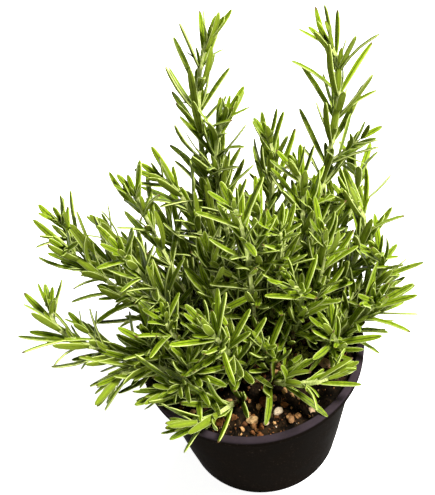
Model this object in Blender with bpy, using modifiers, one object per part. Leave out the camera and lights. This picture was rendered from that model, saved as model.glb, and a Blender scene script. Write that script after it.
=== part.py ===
"""A potted rosemary plant: leafy shoots rooted in the soil of a round plastic nursery pot.

The origin is the centre of the pot's underside and +Z is up. Lengths in the tables are in
millimetres and the scene is in metres. Each shoot is one solid: a square, tapering stem with
its narrow leaves grown from the stem's side faces in crossed pairs.
"""

import math
import random
from dataclasses import dataclass

import bmesh
import bpy
from mathutils import Matrix, Vector
from mathutils.bvhtree import BVHTree

MM = 0.001

# Driving dimensions in millimetres.
RIM_RADIUS = 60.0
POT_HEIGHT = 86.0
BASE_RADIUS = 42.0
WALL = 1.5
RIM_BAND = 4.2
RIM_DROP = 6.0
SOIL_BELOW_RIM = 7.0
DRAIN_COUNT = 6
DRAIN_RADIUS = 3.5
DRAIN_CIRCLE = 30.0
FLOOR_TOP = 2.0
RIM_THICKNESS = 2.4
RIM_ROUND = 1.2
RIM_CHAMFER = 0.8
SKIRT_TAPER = 0.3
FOOT_ROUND = 2.0
FLOOR_ROUND = 1.5
POT_STEPS = 48

# Solids that touch are kept this far apart.
GAP = 0.35
SOIL_TOP = POT_HEIGHT - SOIL_BELOW_RIM
ROOT_DEPTH = 12.0
ROOT_SPARE = 0.1

STEM_SIDE_LOW = 2.9
STEM_SIDE_HIGH = 1.7
FIRST_NODE = 13.0
TIP_NODE = 2.0
TIP_SPACING = 4.5
NODE_HALF = 0.9

FULL_LEAF = 25.0
LEAF_WIDTH = 3.4
LEAF_THICKNESS = 1.0
LEAF_WAIST = 0.4

# Each leaf's share of the full length and its angle from the stem, from the tip's pair down.
TIP_SHARES = (0.7, 0.95)
TIP_SLOPES = (16.0, 24.0)
FIRST_SLOPE = 30.0
SLOPE_STEP = 4.0
WIDEST_SLOPE = 54.0


@dataclass(frozen=True)
class Shoot:
    """A shoot's route: its root on the soil, a point that it passes, and its tip."""

    root: tuple
    knee: tuple
    tip: tuple
    turn: float = 0.0
    rise: float = 16.0
    internode: float = 12.5
    leaf: float = 25.0


SHOOTS = {
    "shoot_tall_left": Shoot((-6, 10), (-11, 55, 182), (0, 75, 237), 35, leaf=26.0),
    "shoot_tall_right": Shoot((16, 12), (50, 46, 165), (58, 69, 228), 40, leaf=28.0),
    "shoot_centre_front": Shoot((2, -4), (4, -3, 160), (1, -4, 203), 20),
    "shoot_facing": Shoot((-6, -18), (-12, -26, 120), (-20, -32, 151), 30, internode=9.5, leaf=26.5),
    "shoot_over_soil": Shoot((5, -22), (19, -36, 98), (37, -39, 105), 35, 9, 12.0, 27.0),
    "shoot_over_front_rim": Shoot((-8, -30), (-20, -44, 94), (-34, -52, 100), 20, 8, 13.0, 27.0),
    "shoot_over_left_rim": Shoot((-26, -26), (-37, -31, 101), (-47, -36, 107), 10, 12, 7.0),
    "shoot_rim_left": Shoot((-38, -6), (-80, -5, 110), (-98, 2, 138), 20, internode=10.0),
    "shoot_left_low": Shoot((-34, 4), (-65, 25, 117), (-87, 28, 152), 0, internode=11.0),
    "shoot_left_high": Shoot((-30, 14), (-73, 41, 126), (-88, 46, 153), 45),
    "shoot_left_front": Shoot((-24, -2), (-43, 4, 137), (-55, 2, 173), 25, internode=11.0),
    "shoot_left_mid": Shoot((-22, 6), (-36, 21, 139), (-46, 28, 186), 50),
    "shoot_upper_left": Shoot((-14, 10), (-19, 34, 150), (-32, 38, 183), 10),
    "shoot_left_inner": Shoot((4, 16), (-5, 42, 158), (3, 54, 204), 60, internode=10.5),
    "shoot_middle_back": Shoot((6, 22), (19, 40, 142), (23, 50, 188), 30),
    "shoot_middle_right": Shoot((16, 4), (32, 20, 144), (34, 28, 186), 0),
    "shoot_middle": Shoot((10, 4), (17, 4, 130), (21, 2, 174), 50),
    "shoot_middle_left": Shoot((-14, -4), (-15, -3, 125), (-13, 0, 161), 15),
    "shoot_middle_inner": Shoot((5, 7), (9, 8, 132), (12, 8, 184), 80),
    "shoot_middle_low": Shoot((28, 2), (38, 5, 124), (43, 6, 160), 20, internode=11.0),
    "shoot_centre_low": Shoot((20, -4), (26, -5, 110), (25, -8, 143), 35, internode=10.0),
    "shoot_front_low": Shoot((8, -14), (8, -16, 94), (5, -18, 111), 50, 8, 7.0),
    "shoot_right_front": Shoot((36, -6), (42, -14, 97), (41, -19, 114), 15, internode=7.0),
    "shoot_right_inner": Shoot((24, 11), (34, 17, 124), (40, 24, 161), 65),
    "shoot_right_mid": Shoot((32, 16), (44, 28, 110), (51, 38, 144), 5),
    "shoot_right_high": Shoot((35, 8), (61, 19, 126), (59, 26, 162), 40, internode=11.0),
    "shoot_right_out": Shoot((42, 6), (63, 11, 105), (71, 12, 132), 10, internode=9.0),
    "shoot_right_low": Shoot((42, -6), (58, -5, 104), (65, -10, 123), 30, internode=8.0),
    "shoot_right_rim": Shoot((45, 0), (60, 1, 97), (72, 0, 108), 20, 12, 7.5),
    "shoot_right_outer": Shoot((26, 20), (55, 41, 118), (66, 56, 153), 55, internode=11.0),
    "shoot_left_droop": Shoot((-38, -18), (-60, -19, 108), (-72, -22, 102), 25, 24, 9.0),
    "shoot_left_base": Shoot((-35, -11), (-46, -11, 104), (-52, -13, 122), 60, 12, 8.0),
    "shoot_left_corner": Shoot((-28, -19), (-31, -26, 104), (-32, -33, 126), 30, 12, 8.0),
    "shoot_left_shadow": Shoot((-26, -10), (-35, -11, 110), (-41, -12, 133), 35, 12, 9.0),
    "shoot_back_left": Shoot((-10, 24), (-14, 57, 101), (-18, 70, 117), 45, internode=10.0),
    "shoot_back_inner": Shoot((-18, 18), (-26, 34, 110), (-34, 48, 134), 70, internode=10.0),
    "shoot_back_far_left": Shoot((-26, 21), (-50, 51, 98), (-68, 70, 112), 10, internode=10.0),
    "shoot_back_right": Shoot((16, 30), (28, 50, 96), (38, 66, 118), 35, internode=9.0),
}

# Stones and bark lying on the soil: centre x and y, then length, width and height.
GRIT = {
    "grit_tan": ((-16, -31), (6.0, 4.8, 3.4), 20),
    "grit_orange": ((-22, -42), (5.0, 4.2, 3.0), 70),
    "grit_pale_front": ((-5, -43), (6.6, 4.6, 3.2), 10),
    "grit_small_front": ((2, -46), (3.6, 3.0, 2.4), 50),
    "grit_rusty": ((3, -34), (8.0, 5.6, 3.8), 120),
    "grit_light": ((9, -40), (5.6, 4.4, 3.0), 35),
    "grit_right": ((15, -46), (4.4, 3.6, 2.6), 80),
    "grit_pink": ((37, -15), (7.4, 5.8, 4.2), 150),
    "bark_left": ((-44, 25), (10.0, 5.0, 3.0), 40),
    "bark_left_low": ((-46, 7), (8.0, 4.4, 2.8), 100),
    "bark_back": ((-2, 38), (9.0, 5.0, 3.0), 15),
    "bark_right": ((44, 22), (8.4, 4.8, 3.0), 125),
}


def clear_scene():
    """Remove whatever the open scene holds."""
    for obj in list(bpy.data.objects):
        bpy.data.objects.remove(obj, do_unlink=True)


def new_collection(name, hidden=False):
    """A collection of the scene. Cutters go in one that isn't rendered."""
    collection = bpy.data.collections.new(name)
    bpy.context.scene.collection.children.link(collection)
    collection.hide_render = hidden
    return collection


def new_material(name, colour, roughness, metallic=0.0):
    """A Principled material."""
    material = bpy.data.materials.new(name)
    material.use_nodes = True
    shader = material.node_tree.nodes["Principled BSDF"]
    shader.inputs["Base Color"].default_value = (*colour, 1.0)
    shader.inputs["Roughness"].default_value = roughness
    shader.inputs["Metallic"].default_value = metallic
    return material


def object_from_bmesh(name, mesh_in, collection, material):
    """A finished bmesh as a named object, with its faces turned outwards."""
    bmesh.ops.recalc_face_normals(mesh_in, faces=mesh_in.faces)
    mesh = bpy.data.meshes.new(name)
    mesh_in.to_mesh(mesh)
    mesh_in.free()
    obj = bpy.data.objects.new(name, mesh)
    collection.objects.link(obj)
    if material is not None:
        obj.data.materials.append(material)
    return obj


def cut_with(obj, cutter):
    """Cut one mesh from another."""
    cut = obj.modifiers.new("cut_" + cutter.name, "BOOLEAN")
    cut.operation = "DIFFERENCE"
    cut.solver = "EXACT"
    cut.object = cutter


def cylinder_cutter(name, centres, radius, low, high, sides, cutters):
    """One cutter object made of upright cylinders at the given centres."""
    tool = bmesh.new()
    for x, y in centres:
        middle = Matrix.Translation(Vector((x, y, (low + high) / 2)) * MM)
        bmesh.ops.create_cone(
            tool,
            cap_ends=True,
            segments=sides,
            radius1=radius * MM,
            radius2=radius * MM,
            depth=(high - low) * MM,
            matrix=middle,
        )
    obj = object_from_bmesh(name, tool, cutters, None)
    obj.hide_render = True
    obj.display_type = "WIRE"
    return obj


def turned(name, outline, collection, material):
    """A solid of revolution about Z from an outline of (radius, height) in millimetres."""
    profile = bmesh.new()
    corners = [profile.verts.new((radius * MM, 0, height * MM)) for radius, height in outline]
    for first, second in zip(corners, corners[1:]):
        profile.edges.new((first, second))
    mesh = bpy.data.meshes.new(name)
    profile.to_mesh(mesh)
    profile.free()
    obj = bpy.data.objects.new(name, mesh)
    collection.objects.link(obj)
    mesh.materials.append(material)
    screw = obj.modifiers.new("turn", "SCREW")
    screw.axis = "Z"
    screw.steps = POT_STEPS
    screw.render_steps = POT_STEPS
    screw.use_merge_vertices = True
    screw.merge_threshold = 0.00001
    return obj


def wall_radius(height):
    """The pot wall's outer radius at a height: a straight taper up to the rim's inner edge."""
    top = RIM_RADIUS - RIM_BAND + WALL
    return BASE_RADIUS + (top - BASE_RADIUS) * height / POT_HEIGHT


def rounded(centre, radius, start, end, steps=3):
    """Points along an arc of the outline, with angles in degrees."""
    points = []
    for i in range(steps + 1):
        angle = math.radians(start + (end - start) * i / steps)
        points.append((centre[0] + radius * math.cos(angle), centre[1] + radius * math.sin(angle)))
    return points


def pot_outline():
    """The pot's section: up the inside, over the rim, down its skirt and then down the wall."""
    inner_top = wall_radius(POT_HEIGHT) - WALL
    skirt_low = POT_HEIGHT - RIM_DROP
    rim_low = POT_HEIGHT - RIM_THICKNESS
    skirt_radius = RIM_RADIUS - SKIRT_TAPER
    corner = FLOOR_TOP + FLOOR_ROUND
    outline = [(0, FLOOR_TOP)]
    outline.append((wall_radius(FLOOR_TOP) - WALL - FLOOR_ROUND, FLOOR_TOP))
    outline.append((wall_radius(corner) - WALL, corner))
    outline.append((inner_top, POT_HEIGHT - RIM_CHAMFER))
    outline.append((inner_top + RIM_CHAMFER, POT_HEIGHT))
    outline += rounded((RIM_RADIUS - RIM_ROUND, POT_HEIGHT - RIM_ROUND), RIM_ROUND, 90, 0)
    outline.append((skirt_radius, skirt_low))
    outline.append((skirt_radius - WALL, skirt_low))
    outline.append((RIM_RADIUS - WALL, rim_low))
    outline.append((wall_radius(rim_low), rim_low))
    outline += rounded((BASE_RADIUS - FOOT_ROUND, FOOT_ROUND), FOOT_ROUND, 0, -90)
    outline.append((0, 0))
    return outline


def build_pot(parts, cutters):
    """The pot: a thin tapering wall, a flat rim with a turned-down skirt, and drain holes."""
    plastic = new_material("pot_plastic", (0.012, 0.011, 0.013), 0.42)
    pot = turned("pot", pot_outline(), parts, plastic)
    centres = []
    for i in range(DRAIN_COUNT):
        angle = 2 * math.pi * (i + 0.5) / DRAIN_COUNT
        centres.append((DRAIN_CIRCLE * math.cos(angle), DRAIN_CIRCLE * math.sin(angle)))
    drains = cylinder_cutter("drain_cutter", centres, DRAIN_RADIUS, -WALL, 2 * FLOOR_TOP, 12, cutters)
    cut_with(pot, drains)
    return pot


def build_soil(parts, cutters):
    """The soil: it fills the pot to a gap below the rim, with a socket for each root."""
    earth = new_material("soil_earth", (0.035, 0.022, 0.014), 0.95)
    low = FLOOR_TOP + GAP
    corner = low + FOOT_ROUND
    side_radius = wall_radius(corner) - WALL - GAP - FLOOR_ROUND / 2
    top_radius = wall_radius(SOIL_TOP) - WALL - GAP
    outline = [(0, SOIL_TOP), (top_radius, SOIL_TOP), (side_radius, corner)]
    outline += [(side_radius - FOOT_ROUND, low), (0, low)]
    soil = turned("soil", outline, parts, earth)
    roots = [shoot.root for shoot in SHOOTS.values()]
    radius = STEM_SIDE_LOW * math.sqrt(0.5) + GAP + ROOT_SPARE
    depth = ROOT_DEPTH + GAP
    sockets = cylinder_cutter("root_cutter", roots, radius, SOIL_TOP - depth, SOIL_TOP + depth, 8, cutters)
    cut_with(soil, sockets)
    return soil


def build_grit(parts):
    """Stones and bark chips, each an uneven lump lying just on the soil."""
    stone = new_material("grit_stone", (0.42, 0.27, 0.15), 0.85)
    bark = new_material("grit_bark", (0.16, 0.07, 0.03), 0.9)
    made = []
    for name, (centre, size, turn) in GRIT.items():
        lump = bmesh.new()
        bmesh.ops.create_icosphere(lump, subdivisions=1, radius=0.5)
        chance = random.Random(name)
        for corner in lump.verts:
            corner.co *= chance.uniform(0.86, 1.0)
        scale = Matrix.Diagonal(Vector(size) * MM).to_4x4()
        spin = Matrix.Rotation(math.radians(turn), 4, "Z")
        bmesh.ops.transform(lump, matrix=spin @ scale, verts=lump.verts)
        lowest = min(corner.co.z for corner in lump.verts)
        place = Vector((centre[0] * MM, centre[1] * MM, (SOIL_TOP + GAP) * MM - lowest))
        bmesh.ops.translate(lump, verts=lump.verts, vec=place)
        material = bark if name.startswith("bark") else stone
        made.append(object_from_bmesh(name, lump, parts, material))
    return made


class Route:
    """A shoot's centre line: straight up out of the soil, then a curve past the knee."""

    def __init__(self, shoot, samples=60):
        root = Vector((*shoot.root, SOIL_TOP))
        knee = Vector(shoot.knee)
        tip = Vector(shoot.tip)
        upright = root + Vector((0, 0, shoot.rise))
        share = (knee - root).length / ((knee - root).length + (tip - knee).length)
        rest = knee - (1 - share) ** 3 * root - share**3 * tip
        rest -= 3 * (1 - share) ** 2 * share * upright
        pull = rest / (3 * (1 - share) * share**2)
        self.points = []
        for i in range(samples + 1):
            t = i / samples
            s = 1 - t
            point = s**3 * root + 3 * s * s * t * upright + 3 * s * t * t * pull + t**3 * tip
            self.points.append(point)
        self.marks = [0.0]
        for first, second in zip(self.points, self.points[1:]):
            self.marks.append(self.marks[-1] + (second - first).length)
        self.length = self.marks[-1]
        self.internode = shoot.internode

    def at(self, distance):
        """The point and the direction at a distance along the line, in millimetres."""
        distance = min(max(distance, 0.0), self.length)
        index = 0
        while index < len(self.marks) - 2 and self.marks[index + 1] < distance:
            index += 1
        span = self.marks[index + 1] - self.marks[index]
        share = (distance - self.marks[index]) / span
        point = self.points[index].lerp(self.points[index + 1], share)
        low = self.points[max(index - 1, 0)]
        high = self.points[min(index + 2, len(self.points) - 1)]
        return point, (high - low).normalized()

    def node_distances(self):
        """Where the leaf pairs stand: evenly up the stem, then close together at its tip."""
        tip = self.length - TIP_NODE
        crown = [tip - TIP_SPACING, tip]
        span = crown[0] - 0.7 * self.internode - FIRST_NODE
        if span <= 0:
            return crown
        count = max(round(span / self.internode), 1)
        return [FIRST_NODE + span * i / count for i in range(count + 1)] + crown


@dataclass
class Blade:
    """A leaf as the rings of corners at its foot, its waist and its tip, with its axes."""

    foot: dict
    middle: dict
    end: dict
    upper: Vector
    sideways: Vector


def ring(centre, sideways, upper, half_width, half_thickness):
    """A rectangle of corners, keyed by the side and the level that each lies on."""
    corners = {}
    for side in (-1, 1):
        for level in (-1, 1):
            corners[side, level] = (
                centre + sideways * side * half_width + upper * level * half_thickness
            )
    return corners


def make_blade(base, along, outward, length, pitch, yaw, bend, spare=0.0):
    """A leaf that leaves the stem at a pitch from its direction and then bends a little.

    spare thickens the leaf, for testing the room round it.
    """
    turn = Matrix.Rotation(math.radians(yaw), 3, along)
    out = (turn @ outward).normalized()
    sideways = along.cross(out).normalized()
    first = along * math.cos(math.radians(pitch)) + out * math.sin(math.radians(pitch))
    steeper = math.radians(pitch + bend)
    second = along * math.cos(steeper) + out * math.sin(steeper)
    upper = first.cross(sideways).normalized()
    upper_end = second.cross(sideways).normalized()
    waist = base + first * length * LEAF_WAIST
    tip = waist + second * (length * (1 - LEAF_WAIST) + spare)
    width = LEAF_WIDTH * (0.55 + 0.45 * min(length / FULL_LEAF, 1.0))
    middle = ring(waist, sideways, upper, width / 2 + spare, LEAF_THICKNESS / 2 + spare)
    end = ring(tip, sideways, upper_end, width / 4 + spare, LEAF_THICKNESS / 4 + spare)
    foot = ring(base + out * GAP, sideways, along, STEM_SIDE_LOW / 2, NODE_HALF)
    return Blade(foot, middle, end, upper, sideways)


CORNER_ORDER = ((-1, -1), (1, -1), (1, 1), (-1, 1))


def prism(low, high):
    """A closed solid between two rings of four corners, as a tree for testing overlaps."""
    points = [low[key] for key in CORNER_ORDER] + [high[key] for key in CORNER_ORDER]
    faces = [(0, 3, 2, 1), (4, 5, 6, 7)]
    for i in range(4):
        j = (i + 1) % 4
        faces.append((i, j, j + 4, i + 4))
    return Solid(points, faces)


class Solid:
    """A closed shape kept for overlap tests, with the box round it."""

    def __init__(self, points, faces):
        self.low = [min(point[axis] for point in points) for axis in range(3)]
        self.high = [max(point[axis] for point in points) for axis in range(3)]
        self.tree = BVHTree.FromPolygons(points, faces)

    def meets(self, other):
        """Whether the two surfaces cross."""
        for axis in range(3):
            if self.high[axis] < other.low[axis] or other.high[axis] < self.low[axis]:
                return False
        return bool(self.tree.overlap(other.tree))


def solid_of_object(obj):
    """An object's evaluated mesh, in millimetres, for overlap tests."""
    graph = bpy.context.evaluated_depsgraph_get()
    evaluated = obj.evaluated_get(graph)
    mesh = evaluated.to_mesh()
    points = [obj.matrix_world @ vertex.co / MM for vertex in mesh.vertices]
    faces = [tuple(polygon.vertices) for polygon in mesh.polygons]
    evaluated.to_mesh_clear()
    return Solid(points, faces)


# How a leaf is turned aside when it has no room: yaw, pitch and share of its length.
TRIALS = (
    (0, 0, 1.0),
    (16, 0, 1.0),
    (-16, 0, 1.0),
    (0, -12, 1.0),
    (0, 12, 1.0),
    (30, -6, 0.95),
    (-30, -6, 0.95),
    (18, 14, 0.9),
    (-18, 14, 0.9),
    (20, -14, 0.85),
    (-20, -14, 0.85),
    (0, -18, 0.7),
    (34, 10, 0.7),
    (-34, 10, 0.7),
    (0, 0, 0.5),
)


def leaf_habit(from_tip):
    """A leaf's share of the full length and its angle from the stem, from its node's number."""
    if from_tip < len(TIP_SHARES):
        return TIP_SHARES[from_tip], TIP_SLOPES[from_tip]
    below = from_tip - len(TIP_SHARES)
    return 1.0, min(FIRST_SLOPE + SLOPE_STEP * below, WIDEST_SLOPE)


class Plant:
    """All the shoots: first every stem, then the leaves, each where it has room."""

    def __init__(self, fixed):
        self.fixed = fixed
        self.stems = {}
        self.blades = []
        self.meshes = {}
        self.sockets = {}

    def grow_stem(self, name, shoot):
        """A square stem, extruded ring by ring, that keeps its faces' directions as it bends."""
        route = Route(shoot)
        stem = bmesh.new()
        bmesh.ops.create_cube(stem, size=1.0)
        up = Vector((0, 0, 1))
        turn = Matrix.Rotation(math.radians(shoot.turn), 3, "Z")
        across = turn @ Vector((1, 0, 0))
        foot = Vector((*shoot.root, SOIL_TOP - ROOT_DEPTH))
        for corner in stem.verts:
            x, y, level = corner.co * STEM_SIDE_LOW
            lift = ROOT_DEPTH + 1.0 if level > 0 else 0.0
            corner.co = foot + across * x + up.cross(across) * y + up * lift
        top = max(stem.faces, key=lambda face: face.calc_center_median().z)
        sockets = []
        distances = route.node_distances()
        for count, distance in enumerate(distances):
            for offset in (-NODE_HALF, NODE_HALF):
                point, along = route.at(distance + offset)
                across = (across - along * across.dot(along)).normalized()
                share = (distance + offset) / route.length
                side = STEM_SIDE_LOW + (STEM_SIDE_HIGH - STEM_SIDE_LOW) * share
                corners = ring(point, across, along.cross(across), side / 2, side / 2)
                top = self.extrude(stem, top, corners, across, along.cross(across))
            pair = across if count % 2 == 0 else along.cross(across)
            sockets += self.node_faces(top, pair, along, len(distances) - 1 - count)
        self.meshes[name] = stem
        self.sockets[name] = sockets
        points = [corner.co.copy() for corner in stem.verts]
        stem.verts.index_update()
        faces = [tuple(corner.index for corner in face.verts) for face in stem.faces]
        self.stems[name] = Solid(points, faces)

    @staticmethod
    def extrude(mesh, face, corners, sideways, upper):
        """Extrude a four-sided face on to a ring of corners and return the new face."""
        made = bmesh.ops.extrude_discrete_faces(mesh, faces=[face])["faces"][0]
        centre = made.calc_center_median()
        spots = {}
        for corner in made.verts:
            reach = corner.co - centre
            key = (1 if reach.dot(sideways) > 0 else -1, 1 if reach.dot(upper) > 0 else -1)
            spots[corner] = corners[key]
        for corner, spot in spots.items():
            corner.co = spot
        return made

    @staticmethod
    def node_faces(top, pair, along, from_tip):
        """The two opposite side faces just below the top one, with what their leaves need."""
        found = []
        for edge in top.edges:
            side = next(face for face in edge.link_faces if face is not top)
            outward = side.calc_center_median() - top.calc_center_median()
            outward = (outward - along * outward.dot(along)).normalized()
            if abs(outward.dot(pair)) > 0.7:
                found.append((side, outward, along.copy(), from_tip))
        return found

    def has_room(self, name, blade):
        """Whether a leaf keeps clear of the pot, the stones, the stems and the other leaves."""
        inner = prism(blade.foot, blade.middle)
        outer = prism(blade.middle, blade.end)
        for solid in self.fixed:
            if inner.meets(solid) or outer.meets(solid):
                return False
        for owner, solid in self.stems.items():
            if outer.meets(solid) or (owner != name and inner.meets(solid)):
                return False
        return not any(outer.meets(solid) or inner.meets(solid) for solid in self.blades)

    def grow_leaves(self, name):
        """Extrude a leaf from each free socket of one shoot, turned aside where it must be."""
        chance = random.Random(name)
        stem = self.meshes[name]
        for face, outward, along, from_tip in self.sockets[name]:
            share, slope = leaf_habit(from_tip)
            length = SHOOTS[name].leaf * share * chance.uniform(0.88, 1.08)
            pitch = slope + chance.uniform(-6, 6)
            yaw = chance.uniform(-10, 10)
            bend = chance.uniform(-14, 12)
            base = face.calc_center_median()
            for more_yaw, more_pitch, part in TRIALS:
                shape = (length * part, pitch + more_pitch, yaw + more_yaw, bend)
                spared = make_blade(base, along, outward, *shape, spare=GAP)
                if self.has_room(name, spared):
                    blade = make_blade(base, along, outward, *shape)
                    middle = self.extrude(stem, face, blade.middle, blade.sideways, along)
                    self.extrude(stem, middle, blade.end, blade.sideways, blade.upper)
                    self.blades.append(prism(blade.foot, blade.middle))
                    self.blades.append(prism(blade.middle, blade.end))
                    break


def build_shoots(parts, fixed):
    """Every shoot as its own object, in metres."""
    leaf = new_material("rosemary_green", (0.16, 0.30, 0.035), 0.5)
    plant = Plant(fixed)
    for name, shoot in SHOOTS.items():
        plant.grow_stem(name, shoot)
    for name in SHOOTS:
        plant.grow_leaves(name)
    made = []
    for name in SHOOTS:
        mesh = plant.meshes[name]
        bmesh.ops.scale(mesh, vec=(MM, MM, MM), verts=mesh.verts)
        made.append(object_from_bmesh(name, mesh, parts, leaf))
    return made


def main():
    """Build the pot, the soil and its stones, and then the plant."""
    clear_scene()
    parts = new_collection("potted_rosemary_plant")
    cutters = new_collection("cutters", hidden=True)
    pot = build_pot(parts, cutters)
    soil = build_soil(parts, cutters)
    grit = build_grit(parts)
    bpy.context.view_layer.update()
    fixed = [solid_of_object(obj) for obj in [pot, soil, *grit]]
    build_shoots(parts, fixed)
    for obj in (pot, soil):
        obj.data.shade_smooth()
        obj.data.set_sharp_from_angle(angle=math.radians(35))


main()
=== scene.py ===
"""A potted rosemary plant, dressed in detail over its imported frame.

The frame's axes are kept: the origin is the centre of the pot's underside and +Z is up. The
tables and the sizes are in millimetres, and every finished mesh is scaled to metres.
"""

import logging
import math
import random
from collections.abc import Sequence
from dataclasses import dataclass, field
from enum import Enum

import bmesh
import bpy
from mathutils import Euler, Matrix, Vector, noise


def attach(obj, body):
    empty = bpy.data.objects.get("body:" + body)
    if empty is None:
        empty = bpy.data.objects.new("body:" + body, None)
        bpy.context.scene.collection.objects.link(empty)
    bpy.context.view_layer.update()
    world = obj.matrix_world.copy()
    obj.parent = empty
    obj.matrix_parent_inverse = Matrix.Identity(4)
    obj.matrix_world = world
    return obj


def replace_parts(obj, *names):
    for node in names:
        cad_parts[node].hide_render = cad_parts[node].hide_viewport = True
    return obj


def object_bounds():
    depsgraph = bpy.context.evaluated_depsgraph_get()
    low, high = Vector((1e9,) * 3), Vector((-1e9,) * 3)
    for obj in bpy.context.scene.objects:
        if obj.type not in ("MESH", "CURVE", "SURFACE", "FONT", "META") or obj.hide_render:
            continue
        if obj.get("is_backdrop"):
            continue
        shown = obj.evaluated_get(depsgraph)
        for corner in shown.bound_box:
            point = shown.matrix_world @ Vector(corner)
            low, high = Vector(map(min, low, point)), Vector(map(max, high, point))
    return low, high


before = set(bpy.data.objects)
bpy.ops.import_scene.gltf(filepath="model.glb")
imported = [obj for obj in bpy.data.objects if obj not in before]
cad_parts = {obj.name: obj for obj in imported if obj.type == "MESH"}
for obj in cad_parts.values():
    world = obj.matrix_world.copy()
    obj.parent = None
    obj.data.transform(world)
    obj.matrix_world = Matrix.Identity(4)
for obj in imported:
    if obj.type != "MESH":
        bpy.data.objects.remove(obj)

LOG = logging.getLogger("rosemary")
MM = 0.001
MERGE_DISTANCE = 0.0005
UP = Vector((0, 0, 1))
BODY = "root"

# Where the soil's level top lies, and how far a stem reaches down into it.
SOIL_TOP = 79.0
ROOT_DEPTH = 12.0

# How a shoot's leaf pairs end: the last below its tip, the one before that, and the clear
# stretch below the two, as a share of its internode.
TIP_NODE = 2.0
TIP_SPACING = 4.5
TIP_CLEAR = 0.7

# How far each leaf of a crown is turned from the one before it, in degrees.
CROWN_TURN = 137.5

# A Mix node's colour sockets, by their order.
MIX_SHARE, MIX_FIRST, MIX_SECOND, MIX_RESULT = 0, 6, 7, 2

Pair = tuple[float, float]
Triple = tuple[float, float, float]
Colour = Triple
Socket = bpy.types.NodeSocket
Feed = Socket | float | Colour


class Slot(Enum):
    """Names of material slots."""

    POT = "pot_plastic"
    SOIL = "potting_mix"
    STONE = "grit_stone"
    BARK = "bark_chip"
    LEAF = "rosemary_leaf"
    STEM = "rosemary_stem"


class Coordinates(Enum):
    """What a pattern is laid out on."""

    OBJECT = "Object"
    SURFACE = "UV"


@dataclass(frozen=True)
class Shoot:
    """A shoot's route and habit.

    It leaves the soil at its root, passes its knee and ends at its tip. Turn is how far its
    first leaf pair is turned about the stem, rise how strongly it starts upright, internode the
    spacing of its leaf pairs and leaf the length of a full leaf.
    """

    root: Pair
    knee: Triple
    tip: Triple
    turn: float = 0.0
    rise: float = 16.0
    internode: float = 12.5
    leaf: float = 25.0


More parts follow.
